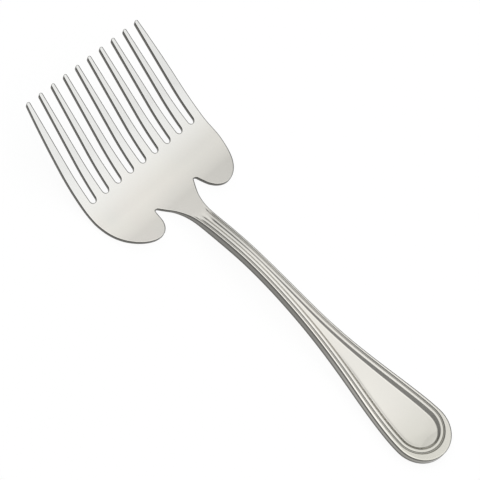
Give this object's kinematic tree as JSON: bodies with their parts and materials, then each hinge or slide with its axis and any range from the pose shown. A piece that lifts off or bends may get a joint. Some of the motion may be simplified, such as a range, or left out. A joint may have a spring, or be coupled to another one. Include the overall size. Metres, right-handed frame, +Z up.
{
  "type": "pasta server",
  "caption": "Rake-shaped one-piece steel pasta server with fanned upturned tines, a broad lobed palm and an arched flat handle with a coined border and sunk teardrop panel.",
  "frame": {"origin": "on the table, under the middle of the server's length and width, as it lies at rest", "axes": "+X along the length from the tine tips towards the handle's round end, +Z up out of the table, +Y across the palm to the left when looking along +X"},
  "size_m": [0.2496, 0.084, 0.0306],
  "materials": {
    "stainless_steel": "satin polished stainless steel, rougher on the sheared edges"
  },
  "bodies": {
    "root": {"tine_01": "stainless_steel", "tine_02": "stainless_steel", "tine_03": "stainless_steel", "tine_04": "stainless_steel", "tine_05": "stainless_steel", "tine_06": "stainless_steel", "tine_07": "stainless_steel", "tine_08": "stainless_steel", "tine_09": "stainless_steel", "tine_10": "stainless_steel", "palm": "stainless_steel", "handle": "stainless_steel"}
  },
  "joints": []
}
